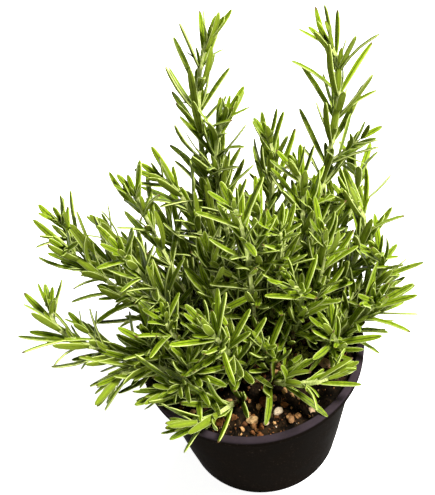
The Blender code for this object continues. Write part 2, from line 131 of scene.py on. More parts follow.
SHOOTS = {
    "shoot_tall_left": Shoot((-6, 10), (-11, 55, 182), (0, 75, 237), 35, leaf=26.0),
    "shoot_tall_right": Shoot((16, 12), (50, 46, 165), (58, 69, 228), 40, leaf=28.0),
    "shoot_centre_front": Shoot((2, -4), (4, -3, 160), (1, -4, 203), 20),
    "shoot_facing": Shoot((-6, -18), (-12, -26, 120), (-20, -32, 151), 30, internode=9.5, leaf=26.5),
    "shoot_over_soil": Shoot((5, -22), (19, -36, 98), (37, -39, 105), 35, 9, 12.0, 27.0),
    "shoot_over_front_rim": Shoot((-8, -30), (-20, -44, 94), (-34, -52, 100), 20, 8, 13.0, 27.0),
    "shoot_over_left_rim": Shoot((-26, -26), (-37, -31, 101), (-47, -36, 107), 10, 12, 7.0),
    "shoot_rim_left": Shoot((-38, -6), (-80, -5, 110), (-98, 2, 138), 20, internode=10.0),
    "shoot_left_low": Shoot((-34, 4), (-65, 25, 117), (-87, 28, 152), 0, internode=11.0),
    "shoot_left_high": Shoot((-30, 14), (-73, 41, 126), (-88, 46, 153), 45),
    "shoot_left_front": Shoot((-24, -2), (-43, 4, 137), (-55, 2, 173), 25, internode=11.0),
    "shoot_left_mid": Shoot((-22, 6), (-36, 21, 139), (-46, 28, 186), 50),
    "shoot_upper_left": Shoot((-14, 10), (-19, 34, 150), (-32, 38, 183), 10),
    "shoot_left_inner": Shoot((4, 16), (-5, 42, 158), (3, 54, 204), 60, internode=10.5),
    "shoot_middle_back": Shoot((6, 22), (19, 40, 142), (23, 50, 188), 30),
    "shoot_middle_right": Shoot((16, 4), (32, 20, 144), (34, 28, 186), 0),
    "shoot_middle": Shoot((10, 4), (17, 4, 130), (21, 2, 174), 50),
    "shoot_middle_left": Shoot((-14, -4), (-15, -3, 125), (-13, 0, 161), 15),
    "shoot_middle_inner": Shoot((5, 7), (9, 8, 132), (12, 8, 184), 80),
    "shoot_middle_low": Shoot((28, 2), (38, 5, 124), (43, 6, 160), 20, internode=11.0),
    "shoot_centre_low": Shoot((20, -4), (26, -5, 110), (25, -8, 143), 35, internode=10.0),
    "shoot_front_low": Shoot((8, -14), (8, -16, 94), (5, -18, 111), 50, 8, 7.0),
    "shoot_right_front": Shoot((36, -6), (42, -14, 97), (41, -19, 114), 15, internode=7.0),
    "shoot_right_inner": Shoot((24, 11), (34, 17, 124), (40, 24, 161), 65),
    "shoot_right_mid": Shoot((32, 16), (44, 28, 110), (51, 38, 144), 5),
    "shoot_right_high": Shoot((35, 8), (61, 19, 126), (59, 26, 162), 40, internode=11.0),
    "shoot_right_out": Shoot((42, 6), (63, 11, 105), (71, 12, 132), 10, internode=9.0),
    "shoot_right_low": Shoot((42, -6), (58, -5, 104), (65, -10, 123), 30, internode=8.0),
    "shoot_right_rim": Shoot((45, 0), (60, 1, 97), (72, 0, 108), 20, 12, 7.5),
    "shoot_right_outer": Shoot((26, 20), (55, 41, 118), (66, 56, 153), 55, internode=11.0),
    "shoot_left_droop": Shoot((-38, -18), (-60, -19, 108), (-72, -22, 102), 25, 24, 9.0),
    "shoot_left_base": Shoot((-35, -11), (-46, -11, 104), (-52, -13, 122), 60, 12, 8.0),
    "shoot_left_corner": Shoot((-28, -19), (-31, -26, 104), (-32, -33, 126), 30, 12, 8.0),
    "shoot_left_shadow": Shoot((-26, -10), (-35, -11, 110), (-41, -12, 133), 35, 12, 9.0),
    "shoot_back_left": Shoot((-10, 24), (-14, 57, 101), (-18, 70, 117), 45, internode=10.0),
    "shoot_back_inner": Shoot((-18, 18), (-26, 34, 110), (-34, 48, 134), 70, internode=10.0),
    "shoot_back_far_left": Shoot((-26, 21), (-50, 51, 98), (-68, 70, 112), 10, internode=10.0),
    "shoot_back_right": Shoot((16, 30), (28, 50, 96), (38, 66, 118), 35, internode=9.0),
}


@dataclass(frozen=True)
class Lump:
    """A stone or a chip on the soil: its centre, its three sizes and the way that it lies."""

    centre: Pair
    size: Triple
    turn: float
    colour: Colour


GRIT = {
    "grit_tan": Lump((-16, -31), (6.0, 4.8, 3.4), 20, (0.47, 0.27, 0.1)),
    "grit_orange": Lump((-22, -42), (5.0, 4.2, 3.0), 70, (0.5, 0.2, 0.06)),
    "grit_pale_front": Lump((-5, -43), (6.6, 4.6, 3.2), 10, (0.52, 0.33, 0.15)),
    "grit_small_front": Lump((2, -46), (3.6, 3.0, 2.4), 50, (0.55, 0.42, 0.28)),
    "grit_rusty": Lump((3, -34), (8.0, 5.6, 3.8), 120, (0.26, 0.085, 0.04)),
    "grit_light": Lump((9, -40), (5.6, 4.4, 3.0), 35, (0.6, 0.48, 0.33)),
    "grit_right": Lump((15, -46), (4.4, 3.6, 2.6), 80, (0.42, 0.22, 0.1)),
    "grit_pink": Lump((37, -15), (7.4, 5.8, 4.2), 150, (0.55, 0.33, 0.22)),
    "bark_left": Lump((-44, 25), (10.0, 5.0, 3.0), 40, (0.2, 0.085, 0.03)),
    "bark_left_low": Lump((-46, 7), (8.0, 4.4, 2.8), 100, (0.24, 0.1, 0.035)),
    "bark_back": Lump((-2, 38), (9.0, 5.0, 3.0), 15, (0.17, 0.075, 0.03)),
    "bark_right": Lump((44, 22), (8.4, 4.8, 3.0), 125, (0.2, 0.09, 0.035)),
}


class Graph:
    """The shader nodes of one material, added and linked one at a time."""

    def __init__(self, name: str, roughness: float, specular: float = 0.05) -> None:
        """Start a material with an empty Principled surface.

        Args:
            name: The material's name.
            roughness: The surface's roughness where nothing drives it.
            specular: Its specular level.
        """
        self.material = bpy.data.materials.new(name)
        self.material.use_nodes = True
        self.tree = self.material.node_tree
        self.shader = self.tree.nodes["Principled BSDF"]
        self.shader.inputs["Roughness"].default_value = roughness
        self.shader.inputs["Specular IOR Level"].default_value = specular

    def node(self, kind: str, **settings: object) -> bpy.types.Node:
        """Add one node.

        Args:
            kind: The node's Blender type, without its ShaderNode prefix.
            **settings: Properties to set on it.

        Returns:
            The new node.
        """
        made = self.tree.nodes.new("ShaderNode" + kind)
        for key, value in settings.items():
            setattr(made, key, value)
        return made

    def put(self, socket: Socket, value: Feed) -> None:
        """Link a socket to another, or set it to a number or a colour.

        Args:
            socket: The input to fill.
            value: What it takes.
        """
        if isinstance(value, Socket):
            self.tree.links.new(value, socket)
        elif isinstance(value, tuple) and len(value) == 3 and socket.type == "RGBA":
            socket.default_value = (*value, 1.0)
        else:
            socket.default_value = value

    def surface(self, socket: str, value: Feed) -> None:
        """Feed one socket of the Principled surface."""
        self.put(self.shader.inputs[socket], value)

    def place(self, scale: Triple = (1.0, 1.0, 1.0), turn: float = 0.0) -> Socket:
        """Lay out a pattern in the piece's own space.

        Args:
            scale: How many times finer it is along each axis.
            turn: How far it is turned about Z, in degrees.

        Returns:
            The vector output to read a pattern at.
        """
        source = self.node("TexCoord").outputs[Coordinates.OBJECT.value]
        mapping = self.node("Mapping")
        mapping.inputs["Scale"].default_value = scale
        mapping.inputs["Rotation"].default_value = (0.0, 0.0, math.radians(turn))
        self.put(mapping.inputs["Vector"], source)
        return mapping.outputs["Vector"]

    def noise(self, vector: Socket, scale: float, detail: float, rough: float) -> Socket:
        """A cloudy pattern from 0 to 1.

        Args:
            vector: Where it is read.
            scale: How many features it has in a metre.
            detail: How many finer layers it adds.
            rough: How strong those layers are.

        Returns:
            The pattern's value.
        """
        made = self.node("TexNoise")
        self.put(made.inputs["Vector"], vector)
        for key, value in (("Scale", scale), ("Detail", detail), ("Roughness", rough)):
            made.inputs[key].default_value = value
        return made.outputs["Fac"]

    def cells(self, vector: Socket, scale: float) -> Socket:
        """A pattern of cells.

        Args:
            vector: Where it is read.
            scale: How many cells it has in a metre.

        Returns:
            The distance from the nearest cell's middle.
        """
        made = self.node("TexVoronoi")
        self.put(made.inputs["Vector"], vector)
        made.inputs["Scale"].default_value = scale
        return made.outputs["Distance"]

    def attribute(self, name: str) -> Socket:
        """A number that the piece's mesh carries at each point."""
        return self.node("Attribute", attribute_name=name).outputs["Fac"]

    def across(self) -> tuple[Socket, Socket]:
        """Split the surface map.

        Returns:
            Its two directions, as separate numbers.
        """
        parts = self.node("SeparateXYZ")
        self.put(parts.inputs[0], self.node("TexCoord").outputs[Coordinates.SURFACE.value])
        return parts.outputs["X"], parts.outputs["Y"]

    def math(self, operation: str, first: Feed, second: Feed) -> Socket:
        """One sum on two numbers.

        Args:
            operation: The Math node's operation.
            first: A socket or a number.
            second: A socket or a number.

        Returns:
            The result.
        """
        made = self.node("Math", operation=operation)
        self.put(made.inputs[0], first)
        self.put(made.inputs[1], second)
        return made.outputs[0]

    def remap(
        self, value: Feed, low: float, high: float, start: float = 0.0, end: float = 1.0
    ) -> Socket:
        """Spread a stretch of a value over another one, smoothly.

        Args:
            value: The socket to read.
            low: Where the stretch starts.
            high: Where it ends.
            start: The result at and before the start.
            end: The result at and after the end.

        Returns:
            The result.
        """
        made = self.node("MapRange", interpolation_type="SMOOTHSTEP")
        for socket, item in zip(made.inputs, (value, low, high, start, end)):
            self.put(socket, item)
        return made.outputs["Result"]

    def mix(self, share: Feed, first: Feed, second: Feed) -> Socket:
        """Blend two colours.

        Args:
            share: How much of the second shows, from 0 to 1.
            first: A socket or a colour.
            second: A socket or a colour.

        Returns:
            The blended colour.
        """
        made = self.node("Mix", data_type="RGBA")
        self.put(made.inputs[MIX_SHARE], share)
        self.put(made.inputs[MIX_FIRST], first)
        self.put(made.inputs[MIX_SECOND], second)
        return made.outputs[MIX_RESULT]

    def finished(
        self, colour: Feed, roughness: Feed, height: Feed, depth: float, strength: float = 1.0
    ) -> bpy.types.Material:
        """Feed the surface and raise it by a pattern.

        Args:
            colour: Its colour.
            roughness: Its roughness.
            height: The pattern that raises it.
            depth: How high the pattern's full range stands, in millimetres.
            strength: How much of it shows.

        Returns:
            The material.
        """
        self.surface("Base Color", colour)
        self.surface("Roughness", roughness)
        made = self.node("Bump")
        made.inputs["Strength"].default_value = strength
        made.inputs["Distance"].default_value = depth * MM
        self.put(made.inputs["Height"], height)
        self.surface("Normal", made.outputs["Normal"])
        return self.material


@dataclass(frozen=True)
class MouldedPlastic:
    """Dark moulded plastic: satin walls, scuffs and dust, and a greyer rim painted as the sky's
    reflection on it.
    """

    wall: Colour = (0.0036, 0.0026, 0.0018)
    # Painted reflection: the rim's lighter purple-grey colour stands in for the sky's sheen on its
    # top.
    rim: Colour = (0.032, 0.024, 0.030)
    stain: Colour = (0.0075, 0.0050, 0.0034)
    dust: Colour = (0.04, 0.03, 0.024)
    gloss: Pair = (0.36, 0.50)
    specular: float = 0.0004
    # The heights over which the painted rim reflection fades in, in millimetres.
    rim_sheen_low: float = 83.5
    rim_sheen_high: float = 85.6

    def material(self) -> bpy.types.Material:
        """Build the plastic's material.

        Returns:
            The material.
        """
        graph = Graph("pot_moulded_plastic", 0.42, self.specular)
        place = graph.place()
        height = graph.node("SeparateXYZ")
        graph.put(height.inputs[0], place)
        # Painted reflection: from these heights up, the plastic takes the lighter rim colour.
        level = graph.remap(height.outputs["Z"], self.rim_sheen_low * MM, self.rim_sheen_high * MM)
        blotches = graph.noise(place, 60, 4, 0.6)
        specks = graph.remap(graph.noise(place, 900, 2, 0.6), 0.60, 0.72)
        colour = graph.mix(level, self.wall, self.rim)
        shaded = graph.mix(graph.remap(blotches, 0.35, 0.7, 0.0, 0.3), colour, self.stain)
        dusty = graph.math("MULTIPLY", specks, graph.remap(blotches, 0.4, 0.65, 0.05, 0.6))
        grain = graph.noise(place, 1400, 3, 0.6)
        scuffs = graph.noise(graph.place(scale=(1.0, 1.0, 0.12)), 420, 3, 0.65)
        relief = graph.math("ADD", grain, graph.math("MULTIPLY", scuffs, 1.5))
        satin = graph.remap(blotches, 0.3, 0.75, *self.gloss)
        return graph.finished(graph.mix(dusty, shaded, self.dust), satin, relief, 0.05, 0.4)


@dataclass(frozen=True)
class PottingMix:
    """Moist peat and bark fines: near black, with browner crumbs."""

    wet: Colour = (0.004, 0.003, 0.002)
    dry: Colour = (0.022, 0.013, 0.006)
    fibre: Colour = (0.16, 0.085, 0.035)

    def material(self) -> bpy.types.Material:
        """Build the mix's material.

        Returns:
            The material.
        """
        graph = Graph("potting_mix_crumbly", 0.9)
        place = graph.place()
        clods = graph.noise(place, 170, 6, 0.7)
        fines = graph.noise(place, 900, 4, 0.7)
        ground = graph.mix(graph.remap(clods, 0.42, 0.64), self.wet, self.dry)
        strands = graph.noise(graph.place(scale=(1.0, 0.16, 1.0), turn=35), 1100, 2, 0.5)
        colour = graph.mix(graph.remap(strands, 0.66, 0.76), ground, self.fibre)
        relief = graph.math("ADD", clods, graph.math("MULTIPLY", fines, 0.6))
        return graph.finished(colour, graph.remap(clods, 0.4, 0.6, 0.98, 0.7), relief, 1.1)


@dataclass(frozen=True)
class Mineral:
    """A weathered stone of one main colour."""

    name: str
    colour: Colour

    def material(self) -> bpy.types.Material:
        """Build the stone's material.

        Returns:
            The material.
        """
        graph = Graph(self.name, 0.8)
        place = graph.place()
        patches = graph.noise(place, 420, 5, 0.6)
        dark = tuple(0.35 * part for part in self.colour)
        pale = tuple(min(1.35 * part + 0.05, 1.0) for part in self.colour)
        body = graph.mix(graph.remap(patches, 0.3, 0.55), dark, self.colour)
        flecks = graph.remap(graph.cells(place, 1500), 0.12, 0.3, 1.0, 0.0)
        relief = graph.math("ADD", patches, graph.noise(place, 2200, 2, 0.6))
        rough = graph.remap(patches, 0.3, 0.7, 0.6, 0.95)
        return graph.finished(graph.mix(flecks, body, pale), rough, relief, 0.35)


@dataclass(frozen=True)
class Bark:
    """A bark chip: long fibres, from rusty brown to near black."""

    name: str
    colour: Colour
    turn: float

    def material(self) -> bpy.types.Material:
        """Build the bark's material.

        Returns:
            The material.
        """
        graph = Graph(self.name, 0.88)
        fibres = graph.noise(graph.place(scale=(0.14, 1.0, 1.0), turn=-self.turn), 1300, 4, 0.6)
        patches = graph.noise(graph.place(), 260, 3, 0.5)
        dark = tuple(0.18 * part for part in self.colour)
        body = graph.mix(graph.remap(fibres, 0.38, 0.6), dark, self.colour)
        rusty = tuple(min(1.8 * part, 1.0) for part in self.colour)
        colour = graph.mix(graph.remap(patches, 0.52, 0.7), body, rusty)
        return graph.finished(colour, graph.remap(patches, 0.3, 0.7, 0.95, 0.75), fibres, 0.5)


@dataclass(frozen=True)
class Crumbs:
    """Loose crumbs, whose own tone runs from wet peat through bark to tan and pale grit."""

    wet: Colour = (0.012, 0.007, 0.004)
    peat: Colour = (0.07, 0.032, 0.014)
    bark: Colour = (0.22, 0.085, 0.028)
    tan: Colour = (0.48, 0.27, 0.11)
    pale: Colour = (0.72, 0.58, 0.42)
    smear: Colour = (0.03, 0.018, 0.01)

    def material(self) -> bpy.types.Material:
        """Build the crumbs' material.

        Returns:
            The material.
        """
        graph = Graph("loose_crumbs", 0.88)
        place = graph.place()
        tone = graph.attribute("tone")
        mottle = graph.noise(place, 1100, 3, 0.6)
        bands = (
            (0.0, 0.5, self.peat),
            (0.5, 0.74, self.bark),
            (0.78, 0.88, self.tan),
            (0.93, 0.98, self.pale),
        )
        shade = self.wet
        for low, high, colour in bands:
            shade = graph.mix(graph.remap(tone, low, high), shade, colour)
        colour = graph.mix(graph.remap(mottle, 0.55, 0.75, 0.0, 0.7), shade, self.smear)
        return graph.finished(colour, graph.remap(mottle, 0.3, 0.7, 0.7, 0.95), mottle, 0.3)


@dataclass(frozen=True)
class LeafSkin:
    """A rosemary leaf: satin and yellow-green above, with a sunken midrib painted dark as shade and
    pale rolled margins that carry a painted highlight.

    The mesh's own numbers drive it: tone differs from leaf to leaf, fresh runs from an old leaf
    low in the shoot, painted dark also as the shade there, to a new, lit one, and under is 1 on the
    lower side. The surface map runs across and along a leaf.
    """

    # The first colour is partly an older leaf's darker green and mostly painted shade for leaves low
    # and deep in a shoot; the second is a young, lit leaf's colour.
    old: Colour = (0.016, 0.030, 0.002)
    fresh: Colour = (0.160, 0.245, 0.006)
    pale: Colour = (0.360, 0.440, 0.035)
    # Partly real, partly painted highlight: the pale rolled margin's colour, brightened to stand in
    # for the highlight along it.
    edge: Colour = (0.620, 0.700, 0.250)
    # Painted shade: the midrib groove's dark colour stands in for the shade in it.
    groove_shade: Colour = (0.022, 0.040, 0.003)
    underside: Colour = (0.150, 0.200, 0.014)
    dry: Colour = (0.100, 0.050, 0.022)
    gloss: Pair = (0.36, 0.75)
    specular: float = 0.08

    def material(self) -> bpy.types.Material:
        """Build the leaves' material.

        Returns:
            The material.
        """
        graph = Graph("rosemary_leaf_skin", 0.42, self.specular)
        across, along = graph.across()
        tone = graph.attribute("tone")
        fresh = graph.attribute("fresh")
        under = graph.attribute("under")
        place = graph.place()
        mottle = graph.noise(place, 520, 3, 0.55)
        # Painted shade: leaves further below the tip take the darker colour, for the shade deep in
        # the plant as well as for their age.
        age = graph.math("ADD", fresh, graph.remap(tone, 0.0, 1.0, -0.35, 0.35))
        blade = graph.mix(graph.remap(age, 0.0, 1.0), self.old, self.fresh)
        blade = graph.mix(graph.remap(mottle, 0.35, 0.7, 0.0, 0.35), blade, self.pale)
        middle = graph.math("ABSOLUTE", graph.math("SUBTRACT", across, 0.5), 0.0)
        # Painted shade in the midrib's groove.
        groove_shade = graph.remap(middle, 0.03, 0.11, 0.85, 0.0)
        # The pale margin band, which is also a painted highlight along the rolled edge.
        margin = graph.remap(middle, 0.38, 0.47, 0.0, 0.85)
        top = graph.mix(groove_shade, blade, self.groove_shade)
        top = graph.mix(margin, top, self.edge)
        rib = graph.remap(middle, 0.04, 0.10, 1.0, 0.0)
        below = graph.mix(rib, self.underside, blade)
        skin = graph.mix(graph.remap(under, 0.35, 0.75), top, below)
        near_tip = graph.remap(along, 0.92, 1.0)
        scorch = graph.math("MULTIPLY", near_tip, graph.remap(tone, 0.80, 0.86))
        satin = graph.remap(under, 0.3, 0.8, *self.gloss)
        pits = graph.cells(place, 2600)
        relief = graph.math("ADD", pits, graph.math("MULTIPLY", mottle, 1.5))
        return graph.finished(graph.mix(scorch, skin, self.dry), satin, relief, 0.10, 0.6)


@dataclass(frozen=True)
class StemBark:
    """A shoot's stem: downy and pale green above, and brown, cracked wood low down."""

    young: Colour = (0.330, 0.410, 0.095)
    down: Colour = (0.600, 0.620, 0.280)
    wood: Colour = (0.150, 0.085, 0.042)
    crack: Colour = (0.035, 0.018, 0.010)

    def material(self) -> bpy.types.Material:
        """Build the stems' material.

        Returns:
            The material.
        """
        graph = Graph("rosemary_stem_bark", 0.7)
        place = graph.place()
        age = graph.attribute("age")
        grain = graph.noise(graph.place(scale=(1.0, 1.0, 0.18)), 1500, 4, 0.6)
        patches = graph.noise(place, 300, 3, 0.5)
        downy = graph.mix(graph.remap(grain, 0.42, 0.62, 0.0, 0.8), self.young, self.down)
        woody = graph.mix(graph.remap(grain, 0.38, 0.56, 1.0, 0.0), self.wood, self.crack)
        level = graph.math("ADD", age, graph.remap(patches, 0.3, 0.7, -0.15, 0.15))
        colour = graph.mix(graph.remap(level, 0.45, 0.8), downy, woody)
        return graph.finished(colour, graph.remap(patches, 0.3, 0.7, 0.6, 0.85), grain, 0.25)


@dataclass(frozen=True)
class MossTuft:
    """Moss and algae on the soil: soft yellow-green cushions."""

    deep: Colour = (0.14, 0.17, 0.02)
    tips: Colour = (0.62, 0.62, 0.14)

    def material(self) -> bpy.types.Material:
        """Build the moss's material.

        Returns:
            The material.
        """
        graph = Graph("soil_moss", 0.95)
        place = graph.place()
        strands = graph.noise(place, 1500, 4, 0.7)
        colour = graph.mix(graph.remap(strands, 0.36, 0.56), self.deep, self.tips)
        return graph.finished(colour, graph.remap(strands, 0.3, 0.7, 0.98, 0.85), strands, 0.9)


def linked(name: str, data: bpy.types.ID) -> bpy.types.Object:
    """Put a mesh, a light or a camera in the scene.

    Args:
        name: The new object's name.
        data: What it shows.

    Returns:
        The object.
    """
    made = bpy.data.objects.new(name, data)
    bpy.context.scene.collection.objects.link(made)
    return made


def mesh_of(name: str, shape: bmesh.types.BMesh, scale: float = 1.0) -> bpy.types.Mesh:
    """Turn a working mesh into a finished one.

    Args:
        name: The finished mesh's name.
        shape: The working mesh, which is used up.
        scale: What its sizes are multiplied by.

    Returns:
        The finished mesh.
    """
    bmesh.ops.scale(shape, vec=(scale, scale, scale), verts=shape.verts)
    mesh = bpy.data.meshes.new(name)
    shape.to_mesh(mesh)
    shape.free()
    return mesh


def piece_of(
    name: str,
    shape: bmesh.types.BMesh,
    material: bpy.types.Material,
    creases: float | None = None,
) -> bpy.types.Object:
    """Finish a mesh in millimetres as one piece in metres, riding on the plant's body.

    Args:
        name: The piece's name.
        shape: Its mesh, which is used up.
        material: Its finish.
        creases: The angle in degrees past which an edge stays sharp, or None for none.

    Returns:
        The piece.
    """
    for face in shape.faces:
        face.smooth = True
    mesh = mesh_of(name, shape, MM)
    if creases is not None:
        mesh.set_sharp_from_angle(angle=math.radians(creases))
    mesh.materials.append(material)
    piece = linked(name, mesh)
    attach(piece, BODY)
    LOG.info("%s: %d faces", name, len(mesh.polygons))
    return piece


def turned(outline: Sequence[Pair], steps: int) -> bmesh.types.BMesh:
    """Turn an outline about Z into a closed solid.

    Args:
        outline: Points of radius and height whose two ends lie on the axis.
        steps: How many facets the turn has.

    Returns:
        The solid, with its poles closed and its faces outwards.
    """
    solid = bmesh.new()
    corners = [solid.verts.new((radius, 0, height)) for radius, height in outline]
    edges = [solid.edges.new(pair) for pair in zip(corners, corners[1:])]
    bmesh.ops.spin(
        solid,
        geom=corners + edges,
        cent=(0, 0, 0),
        axis=(0, 0, 1),
        dvec=(0, 0, 0),
        angle=math.tau,
        steps=steps,
        use_merge=True,
        use_duplicate=False,
    )
    bmesh.ops.remove_doubles(solid, verts=solid.verts, dist=MERGE_DISTANCE)
    bmesh.ops.recalc_face_normals(solid, faces=solid.faces)
    return solid


def arc(centre: Pair, radius: float, start: float, end: float, steps: int = 6) -> list[Pair]:
    """Points along an arc of an outline.

    Args:
        centre: The arc's centre, as radius and height.
        radius: Its radius.
        start: Its first angle in degrees.
        end: Its last angle in degrees.
        steps: How many chords it has.

    Returns:
        Its points, ends included.
    """
    angles = [math.radians(start + (end - start) * i / steps) for i in range(steps + 1)]
    return [(centre[0] + radius * math.cos(a), centre[1] + radius * math.sin(a)) for a in angles]


@dataclass
class NurseryPot:
    """The pot: a thin tapering wall with a flat rim, a turned-down skirt and drain holes."""

    rim_radius: float = 60.0
    height: float = 86.0
    base_radius: float = 42.0
    wall: float = 1.5
    rim_band: float = 4.2
    rim_drop: float = 6.0
    rim_thickness: float = 2.4
    rim_crown: float = 3.2
    lip_dip: float = 0.25
    floor_top: float = 2.0
    edge: float = 1.3
    skirt_taper: float = 0.3
    skirt_round: float = 0.45
    under_round: float = 0.8
    foot_round: float = 2.0
    floor_round: float = 1.5
    inside_levels: tuple[float, ...] = (0.25, 0.5, 0.75, 0.9)
    outside_levels: tuple[float, ...] = (0.8, 0.6, 0.4, 0.2)
    drain_radius: float = 3.5
    drain_circle: float = 30.0
    drains: int = 6
    drain_sides: int = 24
    facets: int = 144
    creases: float = 40.0
    finish: MouldedPlastic = field(default_factory=MouldedPlastic)

    def radius_at(self, height: float) -> float:
        """The wall's outer radius at a height."""
        top = self.rim_radius - self.rim_band + self.wall
        return self.base_radius + (top - self.base_radius) * height / self.height

    def outline(self) -> list[Pair]:
        """The section: up the inside, over the rim, down its skirt and then down the wall.

        Returns:
            Its points of radius and height, from the floor's middle to the underside's.
        """
        edge = self.edge
        rim = self.rim_radius
        inner_top = self.radius_at(self.height) - self.wall
        inner_foot = self.radius_at(self.floor_top) - self.wall - self.floor_round
        skirt_low = self.height - self.rim_drop
        skirt_out = rim - self.skirt_taper
        under = self.height - self.rim_thickness
        section = [(0.0, self.floor_top), (inner_foot / 2, self.floor_top)]
        section += arc((inner_foot, self.floor_top + self.floor_round), self.floor_round, -90, 0)
        for share in self.inside_levels:
            level = self.height * share
            section.append((self.radius_at(level) - self.wall, level))
        section += arc((inner_top + edge, self.height - edge - self.lip_dip), edge, 180, 95)
        section.append((rim - self.rim_crown, self.height))
        section += arc((rim - edge, self.height - edge), edge, 85, 0)
        skirt_edge = (skirt_out - self.skirt_round, skirt_low + self.skirt_round)
        section += arc(skirt_edge, self.skirt_round, 0, -90, 3)
        section += [(skirt_out - self.wall, skirt_low), (rim - self.wall, under)]
        fillet = self.under_round
        section += arc((self.radius_at(under) + fillet, under - fillet), fillet, 90, 180, 4)
        for share in self.outside_levels:
            level = self.height * share
            section.append((self.radius_at(level), level))
        foot = self.foot_round
        section += arc((self.base_radius - foot, foot), foot, 0, -90)
        section += [(self.base_radius / 2, 0.0), (0.0, 0.0)]
        return section

    def drain_cutter(self) -> bpy.types.Object:
        """Make the drain holes' cylinders.

        Returns:
            One object to cut them all with.
        """
        tool = bmesh.new()
        for i in range(self.drains):
            angle = math.tau * (i + 0.5) / self.drains
            spot = Vector((math.cos(angle), math.sin(angle), 0)) * self.drain_circle
            bmesh.ops.create_cone(
                tool,
                cap_ends=True,
                segments=self.drain_sides,
                radius1=self.drain_radius,
                radius2=self.drain_radius,
                depth=4 * self.floor_top,
                matrix=Matrix.Translation(spot + UP * self.floor_top / 2),
            )
        return linked("drain_cutter", mesh_of("drain_cutter", tool, MM))

    def build(self) -> None:
        """Turn the pot, cut its drain holes and dress it."""
        shape = turned(self.outline(), self.facets)
        pot = piece_of("nursery_pot", shape, self.finish.material())
        cutter = self.drain_cutter()
        cut = pot.modifiers.new("drains", "BOOLEAN")
        cut.operation = "DIFFERENCE"
        cut.object = cutter
        evaluated = pot.evaluated_get(bpy.context.evaluated_depsgraph_get())
        whole = pot.data
        pot.data = bpy.data.meshes.new_from_object(evaluated)
        pot.modifiers.clear()
        pot.data.set_sharp_from_angle(angle=math.radians(self.creases))
        bpy.data.meshes.remove(whole)
        bpy.data.objects.remove(cutter)
        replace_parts(pot, "pot")


